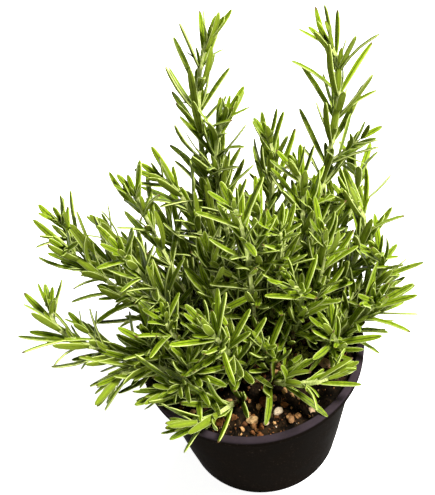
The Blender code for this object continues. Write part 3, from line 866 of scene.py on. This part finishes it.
@dataclass
class PottingSoil:
    """The soil, with its uneven surface, its loose crumbs and a little moss."""

    top: float = SOIL_TOP
    low: float = 2.35
    top_radius: float = 54.15
    low_radius: float = 39.9
    low_bevel: float = 2.0
    relief: float = 1.5
    dip: float = 1.0
    lump_scale: float = 0.11
    clod_scale: float = 0.33
    clod_share: float = 0.6
    ring_width: float = 1.2
    facets: int = 200
    creases: float = 50.0
    crumbs: int = 1500
    crumb_sizes: Pair = (0.5, 1.7)
    granules: int = 260
    granule_sizes: Pair = (1.6, 4.4)
    crumb_spread: float = 0.965
    moss_sizes: Pair = (0.9, 2.4)
    moss_density: float = 12.0
    moss_spots: tuple[Triple, ...] = (
        (23, -3, 6.0),
        (17, -7, 4.4),
        (29, -9, 4.0),
        (-12, 30, 4.0),
        (34, 6, 3.6),
    )
    finish: PottingMix = field(default_factory=PottingMix)

    def level_at(self, x: float, y: float) -> float:
        """The surface's height over a point: lumps, hollows and a slight dip at the wall.

        Args:
            x: The point's place to the right.
            y: The point's place to the back.

        Returns:
            The height there.
        """
        reach = math.hypot(x, y) / self.top_radius
        lumps = noise.noise(Vector((x, y, 3.0)) * self.lump_scale)
        lumps += self.clod_share * noise.noise(Vector((x, y, 9.0)) * self.clod_scale)
        return self.top + self.relief * lumps - self.dip * reach**6

    def build_ground(self) -> None:
        """The body of the soil, with its relief."""
        rings = round(self.top_radius / self.ring_width)
        outline = [(self.top_radius * i / rings, self.top) for i in range(rings + 1)]
        bevel = self.low_bevel
        outline += [(self.low_radius, self.low + bevel), (self.low_radius - bevel, self.low)]
        outline.append((0.0, self.low))
        ground = turned(outline, self.facets)
        for corner in ground.verts:
            if corner.co.z > self.top - 0.5:
                corner.co.z = self.level_at(corner.co.x, corner.co.y)
        finish = self.finish.material()
        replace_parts(piece_of("potting_soil", ground, finish, self.creases), "soil")

    def scatter(self, chance: random.Random, centre: Pair, spread: float) -> Vector:
        """Find a random spot on the surface.

        Args:
            chance: Where the random numbers come from.
            centre: The middle of the spots.
            spread: How far from it they reach.

        Returns:
            The spot.
        """
        angle = chance.uniform(0, math.tau)
        reach = spread * math.sqrt(chance.random())
        x = centre[0] + reach * math.cos(angle)
        y = centre[1] + reach * math.sin(angle)
        return Vector((x, y, self.level_at(x, y)))

    def build_crumbs(self) -> None:
        """Loose crumbs of peat, bark and grit, each half sunk in the surface."""
        chance = random.Random("crumbs")
        heap = bmesh.new()
        tone = heap.verts.layers.float.new("tone")
        for count in range(self.crumbs + self.granules):
            large = count >= self.crumbs
            size = chance.uniform(*(self.granule_sizes if large else self.crumb_sizes))
            spot = self.scatter(chance, (0.0, 0.0), self.top_radius * self.crumb_spread)
            spot.z += size * 0.18
            stretch = Vector((1, chance.uniform(0.55, 1), chance.uniform(0.45, 0.8))) * size
            lie = Euler([chance.uniform(0, math.tau) for _ in range(3)]).to_matrix().to_4x4()
            shade = chance.uniform(0.55, 1.0) if large else chance.random() ** 1.6
            place = Matrix.Translation(spot) @ lie @ Matrix.Diagonal(stretch).to_4x4()
            made = bmesh.ops.create_icosphere(
                heap, subdivisions=2 if large else 1, radius=0.5, matrix=place
            )
            for corner in made["verts"]:
                corner.co = spot + (corner.co - spot) * chance.uniform(0.72, 1.2)
                corner[tone] = shade
        piece_of("soil_crumbs", heap, Crumbs().material(), 30)

    def build_moss(self) -> None:
        """Low cushions of moss, each a bunch of little domes."""
        chance = random.Random("moss")
        bed = bmesh.new()
        for x, y, spread in self.moss_spots:
            for _ in range(round(self.moss_density * spread)):
                spot = self.scatter(chance, (x, y), spread) + UP * 0.2
                size = chance.uniform(*self.moss_sizes)
                place = Matrix.Translation(spot) @ Matrix.Diagonal((size, size, size * 0.8, 1))
                made = bmesh.ops.create_icosphere(bed, subdivisions=2, radius=0.5, matrix=place)
                for corner in made["verts"]:
                    corner.co += (corner.co - spot) * chance.uniform(-0.2, 0.25)
        piece_of("soil_moss", bed, MossTuft().material())

    def build(self) -> None:
        """Build the soil and what is loose on it."""
        self.build_ground()
        self.build_crumbs()
        self.build_moss()


@dataclass
class Grit:
    """The stones and bark chips on the soil, worn into uneven lumps."""

    gap: float = 0.35
    detail: int = 5
    shrink: float = 0.95
    lump_scale: float = 2.6
    lump_depth: float = 0.16
    pit_scale: float = 9.0
    pit_depth: float = 0.045
    ridge_depth: float = 0.2
    creases: float = 45.0

    def build_lump(self, name: str, lump: Lump) -> None:
        """Wear one stone or chip, where its node lies.

        Args:
            name: The node that it stands for.
            lump: Its place, sizes and colour.
        """
        is_bark = name.startswith("bark")
        body = bmesh.new()
        bmesh.ops.create_icosphere(body, subdivisions=self.detail, radius=0.5)
        own = Vector((len(name), lump.turn, 7.0))
        for corner in body.verts:
            wide = noise.noise(corner.co * self.lump_scale + own)
            fine = noise.noise(corner.co * self.pit_scale + own)
            corner.co *= self.shrink + self.lump_depth * wide + self.pit_depth * fine
            if is_bark:
                ridge = math.cos(corner.co.y * self.pit_scale)
                corner.co.z *= 1 - self.ridge_depth + self.ridge_depth * ridge
        spin = Matrix.Rotation(math.radians(lump.turn), 4, "Z")
        scale = Matrix.Diagonal(Vector(lump.size)).to_4x4()
        bmesh.ops.transform(body, matrix=spin @ scale, verts=body.verts)
        lowest = min(corner.co.z for corner in body.verts)
        place = Vector((*lump.centre, SOIL_TOP + self.gap - lowest))
        bmesh.ops.translate(body, vec=place, verts=body.verts)
        if is_bark:
            slot, finish = Slot.BARK, Bark(name + "_bark", lump.colour, lump.turn)
        else:
            slot, finish = Slot.STONE, Mineral(name + "_stone", lump.colour)
        piece = piece_of(name + "_worn", body, finish.material(), self.creases)
        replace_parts(piece, name)

    def build(self) -> None:
        """Build every stone and chip."""
        for name, lump in GRIT.items():
            self.build_lump(name, lump)


class Route:
    """A shoot's centre line: upright out of the soil, then one cubic curve through its knee."""

    def __init__(self, habit: Shoot, samples: int = 60) -> None:
        """Lay out the curve.

        Args:
            habit: The shoot's root, knee and tip.
            samples: How many chords stand for the curve.
        """
        root = Vector((*habit.root, SOIL_TOP))
        knee = Vector(habit.knee)
        tip = Vector(habit.tip)
        upright = root + UP * habit.rise
        low, high = (knee - root).length, (tip - knee).length
        share = low / (low + high)
        # The curve's third handle is the one that makes it pass through the knee.
        rest = knee - (1 - share) ** 3 * root - share**3 * tip
        rest -= 3 * (1 - share) ** 2 * share * upright
        pull = rest / (3 * (1 - share) * share**2)
        self.points: list[Vector] = []
        for i in range(samples + 1):
            t = i / samples
            s = 1 - t
            self.points.append(
                s**3 * root + 3 * s * s * t * upright + 3 * s * t * t * pull + t**3 * tip
            )
        self.marks = [0.0]
        for first, second in zip(self.points, self.points[1:]):
            self.marks.append(self.marks[-1] + (second - first).length)
        self.length = self.marks[-1]
        self.internode = habit.internode

    def at(self, distance: float) -> tuple[Vector, Vector]:
        """Read the line.

        Args:
            distance: How far along it.

        Returns:
            The point there and the line's direction.
        """
        distance = min(max(distance, 0.0), self.length)
        index = 0
        while index < len(self.marks) - 2 and self.marks[index + 1] < distance:
            index += 1
        span = self.marks[index + 1] - self.marks[index]
        share = (distance - self.marks[index]) / span
        point = self.points[index].lerp(self.points[index + 1], share)
        low = self.points[max(index - 1, 0)]
        high = self.points[min(index + 2, len(self.points) - 1)]
        return point, (high - low).normalized()

    def node_distances(self, first_node: float) -> list[float]:
        """Space the leaf pairs evenly up the stem, then close together at its tip.

        Args:
            first_node: How far up the lowest pair stands.

        Returns:
            Each pair's distance along the line.
        """
        tip = self.length - TIP_NODE
        crown = [tip - TIP_SPACING, tip]
        span = crown[0] - TIP_CLEAR * self.internode - first_node
        if span <= 0:
            return crown
        count = max(round(span / self.internode), 1)
        return [first_node + span * i / count for i in range(count + 1)] + crown


def between(ends: Pair, share: float) -> float:
    """The value at a share of the way from the first end to the second."""
    return ends[0] + (ends[1] - ends[0]) * share


@dataclass(frozen=True)
class Stance:
    """How one leaf stands on its stem.

    Pitch is its angle from the stem, yaw how far it is turned about the stem, and bend how far
    its tip turns down, all in degrees. Fresh runs from an old leaf, 0, which is painted dark also
    as the shade low in the shoot, to a new, lit one, 1.
    """

    base: Vector
    along: Vector
    outward: Vector
    length: float
    pitch: float
    yaw: float
    bend: float
    width: float
    fresh: float

    def frame(self) -> Matrix:
        """Place the leaf.

        Returns:
            Its frame: X across it, Y along it and Z out of its upper side.
        """
        turn = Matrix.Rotation(math.radians(self.yaw), 3, self.along)
        out = (turn @ self.outward).normalized()
        pitch = math.radians(self.pitch)
        along_leaf = self.along * math.cos(pitch) + out * math.sin(pitch)
        upper = self.along * math.sin(pitch) - out * math.cos(pitch)
        across = along_leaf.cross(upper)
        axes = Matrix((across * self.width, along_leaf * self.length, upper * self.length))
        return Matrix.Translation(self.base) @ axes.transposed().to_4x4()


@dataclass
class LeafForms:
    """A family of leaf meshes, from drooping to upturned, that every shoot's leaves copy.

    A leaf is one unit long along Y and one unit wide. Its section has a sunken midrib above,
    rolled margins and a raised rib below.
    """

    thickness: float = 0.040
    thin_share: float = 0.55
    bend_gain: float = 1.2
    bends: tuple[int, ...] = (-38, -26, -16, -7, 2, 12, 24, 38)
    across: tuple[float, ...] = (1.0, 0.60, 0.0, -0.60, -1.0, -0.74, 0.0, 0.74)
    rise: tuple[float, ...] = (-0.15, 0.50, 0.08, 0.50, -0.15, -0.62, -0.20, -0.62)
    under: tuple[float, ...] = (0.3, 0.0, 0.0, 0.0, 0.3, 1.0, 1.0, 1.0)
    stations: tuple[Pair, ...] = (
        (0.0, 0.42),
        (0.1, 0.68),
        (0.3, 0.92),
        (0.58, 1.0),
        (0.82, 0.86),
        (0.95, 0.55),
        (1.0, 0.16),
    )

    def build(self) -> dict[int, bpy.types.Mesh]:
        """Every form, by its bend in degrees."""
        return {bend: self.form(bend) for bend in self.bends}

    def form(self, bend: float) -> bpy.types.Mesh:
        """Shape one form: a tube with a side for each point of the section, split along its length.

        Args:
            bend: How far its tip turns down, in degrees.

        Returns:
            Its mesh, with a surface map and the under attribute.
        """
        sides = len(self.across)
        leaf = bmesh.new()
        bmesh.ops.create_cone(leaf, cap_ends=True, segments=sides, radius1=1, radius2=1, depth=1)
        rails = [e for e in leaf.edges if abs(e.verts[0].co.z - e.verts[1].co.z) > 0.5]
        cuts = len(self.stations) - 2
        bmesh.ops.subdivide_edges(leaf, edges=rails, cuts=cuts, use_grid_fill=True)
        under = leaf.verts.layers.float.new("under")
        places = {}
        for corner in leaf.verts:
            side = round(math.atan2(corner.co.y, corner.co.x) / math.tau * sides) % sides
            station = round((corner.co.z + 0.5) * (len(self.stations) - 1))
            share, width = self.stations[station]
            angle = math.radians(bend * self.bend_gain * share)
            reach = share if abs(angle) < 0.01 else share * math.sin(angle / 2) / (angle / 2)
            lift = self.rise[side] * self.thickness * (1 - self.thin_share * (1 - width))
            corner[under] = self.under[side]
            corner.co.x = self.across[side] * width / 2
            corner.co.y = reach * math.cos(angle / 2) + lift * math.sin(angle)
            corner.co.z = lift * math.cos(angle) - reach * math.sin(angle / 2)
            places[corner] = (0.5 + self.across[side] / 2, share)
        surface = leaf.loops.layers.uv.new("leaf")
        for face in leaf.faces:
            for loop in face.loops:
                loop[surface].uv = places[loop.vert]
        bmesh.ops.recalc_face_normals(leaf, faces=leaf.faces)
        return mesh_of("leaf_form", leaf)


@dataclass
class Foliage:
    """The leaves of one shoot, gathered into one mesh."""

    forms: dict[int, bpy.types.Mesh]
    chance: random.Random

    def __post_init__(self) -> None:
        """Start the mesh and the numbers that each leaf carries."""
        self.mesh = bmesh.new()
        self.tone = self.mesh.verts.layers.float.new("tone")
        # The fresh number also sets how much painted shade darkens each leaf.
        self.fresh = self.mesh.verts.layers.float.new("fresh")

    def add(self, stance: Stance) -> None:
        """Copy the form that bends most nearly as a leaf does, and put it in its place.

        Args:
            stance: How the leaf stands.
        """
        nearest = min(self.forms, key=lambda bend: abs(bend - stance.bend))
        before = len(self.mesh.verts)
        self.mesh.from_mesh(self.forms[nearest])
        self.mesh.verts.ensure_lookup_table()
        leaf = self.mesh.verts[before:]
        bmesh.ops.transform(self.mesh, matrix=stance.frame(), verts=leaf)
        tone = self.chance.random()
        for corner in leaf:
            corner[self.tone] = tone
            corner[self.fresh] = stance.fresh


@dataclass
class Stem:
    """A stem's mesh, extruded ring by ring from a ribbed, squarish section."""

    corner: float = 1.22
    side: float = 0.90
    sections: int = 8

    def __post_init__(self) -> None:
        """Start an empty mesh."""
        self.mesh = bmesh.new()
        self.age = self.mesh.verts.layers.float.new("age")

    def add(self, rings: Sequence[tuple[Matrix, float]]) -> None:
        """Extrude one stem.

        Args:
            rings: For each ring its frame, which scales the section, and its age.
        """
        made = bmesh.ops.create_cone(
            self.mesh, cap_ends=True, segments=self.sections, radius1=1, radius2=1, depth=1
        )["verts"]
        for corner in made:
            frame_here, age = rings[1 if corner.co.z > 0 else 0]
            turn = round(math.atan2(corner.co.y, corner.co.x) / math.tau * self.sections)
            reach = self.corner if turn % 2 else self.side
            corner.co = frame_here @ Vector((corner.co.x * reach, corner.co.y * reach, 0))
            corner[self.age] = age
        faces = {face for corner in made for face in corner.link_faces}
        caps = [face for face in faces if len(face.verts) == self.sections]
        centre = rings[1][0].translation
        top = min(caps, key=lambda face: (face.calc_center_median() - centre).length)
        for (before, _), (after, age) in zip(rings[1:], rings[2:]):
            top = bmesh.ops.extrude_discrete_faces(self.mesh, faces=[top])["faces"][0]
            bmesh.ops.transform(self.mesh, matrix=after @ before.inverted(), verts=top.verts)
            for corner in top.verts:
                corner[self.age] = age


@dataclass(frozen=True)
class BudLeaf:
    """How a bud's leaves vary: their share of a full leaf, their pitch and their yaw."""

    size: Pair
    pitch: Pair
    yaw: Pair


@dataclass(frozen=True)
class StemNode:
    """A node of a stem, where one leaf pair stands, numbered from the soil and from the tip."""

    number: int
    from_tip: int
    point: Vector
    along: Vector
    across: Vector
    side: float

    @property
    def pair(self) -> Vector:
        """The way that the pair points, a quarter turn on from its neighbours'."""
        return self.across if self.number % 2 == 0 else self.along.cross(self.across)


@dataclass
class RosemaryShoot:
    """One shoot: its squarish stem, its crossed leaf pairs, and the young growth in their axils."""

    name: str
    habit: Shoot
    forms: dict[int, bpy.types.Mesh]
    side_low: float = 2.9
    side_high: float = 1.9
    first_node: float = 13.0
    low_share: float = 0.12
    full_leaf: float = 25.0
    leaf_width: float = 3.9
    stretch: float = 1.14
    tip_stretch: float = 0.86
    curl: float = 2.2
    leaf_foot: float = 0.42
    tip_habits: tuple[Pair, ...] = ((0.7, 16.0), (0.95, 24.0))
    first_slope: float = 30.0
    slope_step: float = 4.0
    widest_slope: float = 54.0
    # How much darker each node down from the tip is painted, for age and partly as painted shade,
    # and the darkest that a leaf gets.
    fade_and_shade: float = 0.10
    oldest_and_shadiest: float = 0.06
    swell: float = 1.28
    swell_reach: float = 1.0
    swell_rings: tuple[float, ...] = (-1.5, -0.6, 0.6, 1.5)
    ring_step: float = 3.0
    ring_gap: float = 2.0
    tip_taper: float = 0.4
    woody_to: float = 75.0
    sprout_share: float = 0.16
    sprout_pairs: tuple[int, ...] = (3, 4, 5)
    sprout_foot: float = 2.0
    sprout_step: float = 5.0
    sprout_slopes: Pair = (48.0, 20.0)
    sprout_sides: Pair = (1.3, 0.7)
    bud_foot: float = 0.4
    bud_lift: float = 1.4
    bud_youth: float = 1.15
    long_bud_leaf: BudLeaf = BudLeaf((0.78, 1.12), (14, 40), (16, 56))
    short_bud_leaf: BudLeaf = BudLeaf((0.3, 0.6), (8, 34), (0, 60))
    crown_leaves: int = 7
    crown_sizes: Pair = (0.74, 0.26)
    crown_slopes: Pair = (34.0, 7.6)
    crown_slimness: float = 0.9
    creases: float = 60.0

    def __post_init__(self) -> None:
        """Lay out the route and start the two meshes."""
        self.route = Route(self.habit)
        self.stem = Stem()
        self.growth = random.Random(self.name)
        self.foliage = Foliage(self.forms, random.Random(self.name + "_tone"))

    def side_at(self, distance: float) -> float:
        """The stem's width at a distance up it."""
        return self.side_low + (self.side_high - self.side_low) * distance / self.route.length

    def axes_along(self, distances: Sequence[float]) -> list[tuple[Vector, Vector, Vector]]:
        """Follow the stem without letting it twist.

        Args:
            distances: Where to read it, in order from the soil.

        Returns:
            The stem's point, direction and sideways direction at each.
        """
        across = Matrix.Rotation(math.radians(self.habit.turn), 3, "Z") @ Vector((1, 0, 0))
        found = []
        for distance in distances:
            point, along = self.route.at(distance)
            across = (across - along * across.dot(along)).normalized()
            found.append((point, along, across.copy()))
        return found

    @staticmethod
    def ring(point: Vector, along: Vector, across: Vector, side: float) -> Matrix:
        """Place one ring of a stem.

        Args:
            point: Its centre.
            along: The stem's direction.
            across: The stem's sideways direction.
            side: The stem's width.

        Returns:
            The ring's frame.
        """
        half = side / 2
        axes = Matrix((across * half, along.cross(across) * half, along * half))
        return Matrix.Translation(point) @ axes.transposed().to_4x4()

    def woodiness(self, distance: float) -> float:
        """How old the stem is at a distance, from young, 0, to woody, 1."""
        woody_to = min(self.woody_to, 0.6 * self.route.length)
        return min(max(1.15 - distance / woody_to, 0.0), 1.0)

    def build_stem(self, nodes: Sequence[float]) -> None:
        """Extrude the stem from its root to its tip, swollen a little at each node.

        Args:
            nodes: The nodes' distances up the stem.
        """
        stations = {node + offset for node in nodes for offset in self.swell_rings}
        count = int(self.route.length / self.ring_step)
        spaced = (self.route.length * i / count for i in range(count))
        stations |= {d for d in spaced if all(abs(d - node) > self.ring_gap for node in nodes)}
        places = sorted(d for d in stations if 0 < d < self.route.length)
        foot = Vector((*self.habit.root, SOIL_TOP - ROOT_DEPTH))
        start = self.axes_along([0.0])[0]
        rings = [(self.ring(foot, UP, start[2], self.side_low), 1.0)]
        for distance, (point, along, across) in zip(places, self.axes_along(places)):
            near = min(abs(distance - node) for node in nodes)
            side = self.side_at(distance) * (self.swell if near < self.swell_reach else 1.0)
            rings.append((self.ring(point, along, across, side), self.woodiness(distance)))
        tip, along = self.route.at(self.route.length)
        rings.append((self.ring(tip, along, across, self.side_high * self.tip_taper), 0.0))
        self.stem.add(rings)

    def width_of(self, length: float) -> float:
        """A leaf's width from its length."""
        return self.leaf_width * (0.55 + 0.45 * min(length / self.full_leaf, 1.0))

    def leaf_habit(self, from_tip: int) -> tuple[float, float]:
        """How a leaf grows.

        Args:
            from_tip: Its node's number, counted from the tip.

        Returns:
            Its share of the full length, and its angle from the stem in degrees.
        """
        if from_tip < len(self.tip_habits):
            return self.tip_habits[from_tip]
        slope = self.first_slope + self.slope_step * (from_tip - len(self.tip_habits))
        return 1.0, min(slope, self.widest_slope)

    def grow_pair(self, node: StemNode) -> None:
        """Grow the two main leaves of a node, crossed with those of its neighbours.

        Args:
            node: The node.
        """
        share, slope = self.leaf_habit(node.from_tip)
        for sign in (-1, 1) if node.number % 2 == 0 else (1, -1):
            length = self.habit.leaf * share * self.growth.uniform(0.88, 1.08)
            stance = Stance(
                base=node.point + node.pair * sign * node.side * self.leaf_foot,
                along=node.along,
                outward=node.pair * sign,
                length=length * (self.stretch if node.from_tip > 1 else self.tip_stretch),
                pitch=slope + self.growth.uniform(-6, 6),
                yaw=self.growth.uniform(-10, 10),
                bend=self.growth.uniform(-14, 12) * self.curl,
                width=self.width_of(length),
                fresh=self.youth_and_light(node.from_tip),
            )
            self.foliage.add(stance)

    def youth_and_light(self, from_tip: int) -> float:
        """How young a leaf is, from its node's number below the tip; lower leaves are painted
        darker, partly as shade.
        """
        return max(1.0 - self.fade_and_shade * from_tip, self.oldest_and_shadiest)

    def grow_sprout(
        self, start: Vector, along: Vector, outward: Vector, size: float, fresh: float
    ) -> None:
        """Grow a young side shoot in a leaf's axil: a few crossed pairs on a stem of its own.

        Args:
            start: Where it leaves the stem.
            along: The stem's direction there.
            outward: The direction away from the stem.
            size: The length of its lowest leaves.
            fresh: How young its leaves are, which also sets how much painted shade darkens them.
        """
        chance = self.growth
        lean = math.radians(chance.uniform(24, 42))
        turn = Matrix.Rotation(math.radians(chance.uniform(-35, 35)), 3, along)
        axis = (along * math.cos(lean) + turn @ outward * math.sin(lean)).normalized()
        lateral = axis.cross(outward).normalized()
        pairs = chance.choice(self.sprout_pairs)
        reach = self.sprout_foot + self.sprout_step * (pairs - 1)
        for count in range(pairs):
            pair = lateral if count % 2 == 0 else axis.cross(lateral)
            share = count / (pairs - 1)
            for sign in (-1, 1):
                length = size * (1.0 - 0.5 * share) * chance.uniform(0.85, 1.1)
                stance = Stance(
                    base=start + axis * (self.sprout_foot + self.sprout_step * count),
                    along=axis,
                    outward=pair * sign,
                    length=length,
                    pitch=between(self.sprout_slopes, share) + chance.uniform(-7, 7),
                    yaw=chance.uniform(-14, 14),
                    bend=chance.uniform(-16, 22),
                    width=self.width_of(length),
                    fresh=fresh,
                )
                self.foliage.add(stance)
        rings = []
        for share in (0.0, 0.5, 1.0):
            side = between(self.sprout_sides, share)
            rings.append((self.ring(start + axis * reach * share, axis, lateral, side), 0.0))
        self.stem.add(rings)

    def grow_tuft(
        self, start: Vector, along: Vector, outward: Vector, fresh: float, is_full: bool
    ) -> None:
        """Grow the leaves of a bud in a leaf's axil: up to two long ones and some short ones.

        Args:
            start: Where the bud sits.
            along: The stem's direction there.
            outward: The direction away from the stem.
            fresh: How young its leaves are, which also sets how much painted shade darkens them.
            is_full: Whether it is far enough below the tip to have grown out.
        """
        chance = self.growth
        longer = chance.choice((0, 1, 2, 2) if is_full else (0, 0, 1))
        first_side = chance.choice((-1, 1))
        for count in range(longer + chance.choice((1, 1, 2))):
            kind = self.long_bud_leaf if count < longer else self.short_bud_leaf
            side = first_side if count % 2 == 0 else -first_side
            length = self.habit.leaf * chance.uniform(*kind.size)
            stance = Stance(
                base=start,
                along=along,
                outward=outward,
                length=length,
                pitch=chance.uniform(*kind.pitch),
                yaw=side * chance.uniform(*kind.yaw),
                bend=chance.uniform(-26, 40),
                width=self.width_of(length),
                fresh=fresh,
            )
            self.foliage.add(stance)

    def grow_axils(self, node: StemNode) -> None:
        """Grow what is young above both leaves of a node.

        Args:
            node: The node.
        """
        fresh = min(self.youth_and_light(node.from_tip) * self.bud_youth, 1.0)
        for sign in (-1, 1):
            outward = node.pair * sign
            start = node.point + outward * node.side * self.bud_foot + node.along * self.bud_lift
            if node.from_tip > 3 and self.growth.random() < self.sprout_share:
                size = self.habit.leaf * self.growth.uniform(0.7, 0.9)
                self.grow_sprout(start, node.along, outward, size, fresh)
            else:
                self.grow_tuft(start, node.along, outward, fresh, node.from_tip > 2)

    def grow_crown(self) -> None:
        """Grow the bunch of small, upright leaves at the tip."""
        tip, along, across = self.axes_along([self.route.length - 0.5])[0]
        for count in range(self.crown_leaves):
            outward = Matrix.Rotation(math.radians(count * CROWN_TURN), 3, along) @ across
            share = count / (self.crown_leaves - 1)
            length = self.habit.leaf * between(self.crown_sizes, share)
            stance = Stance(
                base=tip,
                along=along,
                outward=outward,
                length=length,
                pitch=between(self.crown_slopes, share) + self.growth.uniform(-5, 5),
                yaw=0.0,
                bend=self.growth.uniform(-18, 10),
                width=self.width_of(length) * self.crown_slimness,
                fresh=1.0,
            )
            self.foliage.add(stance)

    def build(self, leaf_skin: bpy.types.Material, stem_bark: bpy.types.Material) -> None:
        """Grow the shoot and dress it.

        Args:
            leaf_skin: The leaves' finish.
            stem_bark: The stem's finish.
        """
        lowest = min(self.first_node, self.low_share * self.route.length)
        distances = self.route.node_distances(lowest)
        self.build_stem(distances)
        nodes = [
            StemNode(number, len(distances) - 1 - number, *spot, self.side_at(distances[number]))
            for number, spot in enumerate(self.axes_along(distances))
        ]
        for node in nodes:
            self.grow_pair(node)
        for node in nodes[:-2]:
            self.grow_axils(node)
        self.grow_crown()
        piece_of(self.name + "_stem", self.stem.mesh, stem_bark, self.creases)
        leaves = piece_of(self.name + "_leaves", self.foliage.mesh, leaf_skin)
        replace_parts(leaves, self.name)


@dataclass
class RosemaryPlant:
    """All the shoots, which share their leaf forms and their two finishes."""

    leaf_forms: LeafForms = field(default_factory=LeafForms)
    skin: LeafSkin = field(default_factory=LeafSkin)
    bark: StemBark = field(default_factory=StemBark)

    def build(self) -> None:
        """Grow every shoot."""
        forms = self.leaf_forms.build()
        skin, bark = self.skin.material(), self.bark.material()
        for name, habit in SHOOTS.items():
            RosemaryShoot(name, habit, forms).build(skin, bark)
        for form in forms.values():
            bpy.data.meshes.remove(form)


@dataclass(frozen=True)
class SoftBox:
    """A square studio light: where it hangs, how wide it is, its power in watts and its tint."""

    name: str
    place: Triple
    width: float
    power: float
    tint: Colour = (1.0, 1.0, 1.0)


@dataclass
class Studio:
    """The pale floor, the soft lights and the camera, which looks down at the plant."""

    lens: float = 100.0
    camera_place: Triple = (0.0, -0.42292, 0.68775)
    camera_turn: Triple = (38.968, 5.711, -5.714)
    floor_width: float = 8.0
    daylight: float = 0.12
    table_glow: float = 0.92
    paper: Colour = (0.90, 0.90, 0.90)
    paper_pale: Colour = (0.94, 0.94, 0.94)
    lights: tuple[SoftBox, ...] = (
        SoftBox("key", (0.62, -0.20, 1.35), 0.35, 52.5, (1.0, 0.985, 0.94)),
        SoftBox("back_edge", (0.45, 0.85, 0.9), 0.5, 6.0),
    )

    def build_floor(self) -> None:
        """A wide, plain, pale light table under the pot."""
        sheet = bmesh.new()
        bmesh.ops.create_grid(sheet, x_segments=8, y_segments=8, size=self.floor_width / 2)
        mesh = mesh_of("studio_floor", sheet)
        graph = Graph("studio_floor_paper", 0.9)
        grain = graph.noise(graph.place(), 3.0, 2, 0.5)
        graph.surface("Base Color", graph.mix(grain, self.paper, self.paper_pale))
        graph.surface("Emission Color", (1.0, 1.0, 1.0))
        graph.surface("Emission Strength", self.table_glow)
        mesh.materials.append(graph.material)
        linked("studio_floor", mesh)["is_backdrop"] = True

    def build_lights(self) -> None:
        """The soft boxes, each aimed at the plant, and an even daylight all round."""
        target = sum(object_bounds(), Vector()) / 2
        for box in self.lights:
            light = bpy.data.lights.new(box.name, "AREA")
            light.size = box.width
            light.energy = box.power
            light.color = box.tint
            lamp = linked(box.name, light)
            lamp.location = box.place
            lamp.rotation_euler = (target - lamp.location).to_track_quat("-Z", "Y").to_euler()
        world = bpy.data.worlds.new("daylight")
        world.use_nodes = True
        tree = world.node_tree
        background = tree.nodes["Background"]
        background.inputs["Color"].default_value = (1.0, 1.0, 1.0, 1.0)
        seen = tree.nodes.new("ShaderNodeLightPath").outputs["Is Camera Ray"]
        strength = tree.nodes.new("ShaderNodeMapRange")
        strength.inputs["To Min"].default_value = self.daylight
        tree.links.new(seen, strength.inputs["Value"])
        tree.links.new(strength.outputs["Result"], background.inputs["Strength"])
        bpy.context.scene.world = world

    def build_camera(self) -> None:
        """The camera, which looks steeply down through a long lens."""
        camera = linked("camera", bpy.data.cameras.new("camera"))
        camera.data.lens = self.lens
        camera.location = self.camera_place
        camera.rotation_euler = [math.radians(turn) for turn in self.camera_turn]
        bpy.context.scene.camera = camera

    def build(self) -> None:
        """Set up the studio."""
        self.build_floor()
        self.build_lights()
        self.build_camera()
        bpy.context.scene.view_settings.view_transform = "Standard"


def main() -> None:
    """Build the pot, the soil, the plant and then the studio round them."""
    logging.basicConfig(level=logging.INFO, format="%(name)s %(message)s")
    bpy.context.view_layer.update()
    Studio().build()
    NurseryPot().build()
    PottingSoil().build()
    Grit().build()
    RosemaryPlant().build()


if __name__ == "__main__":
    main()
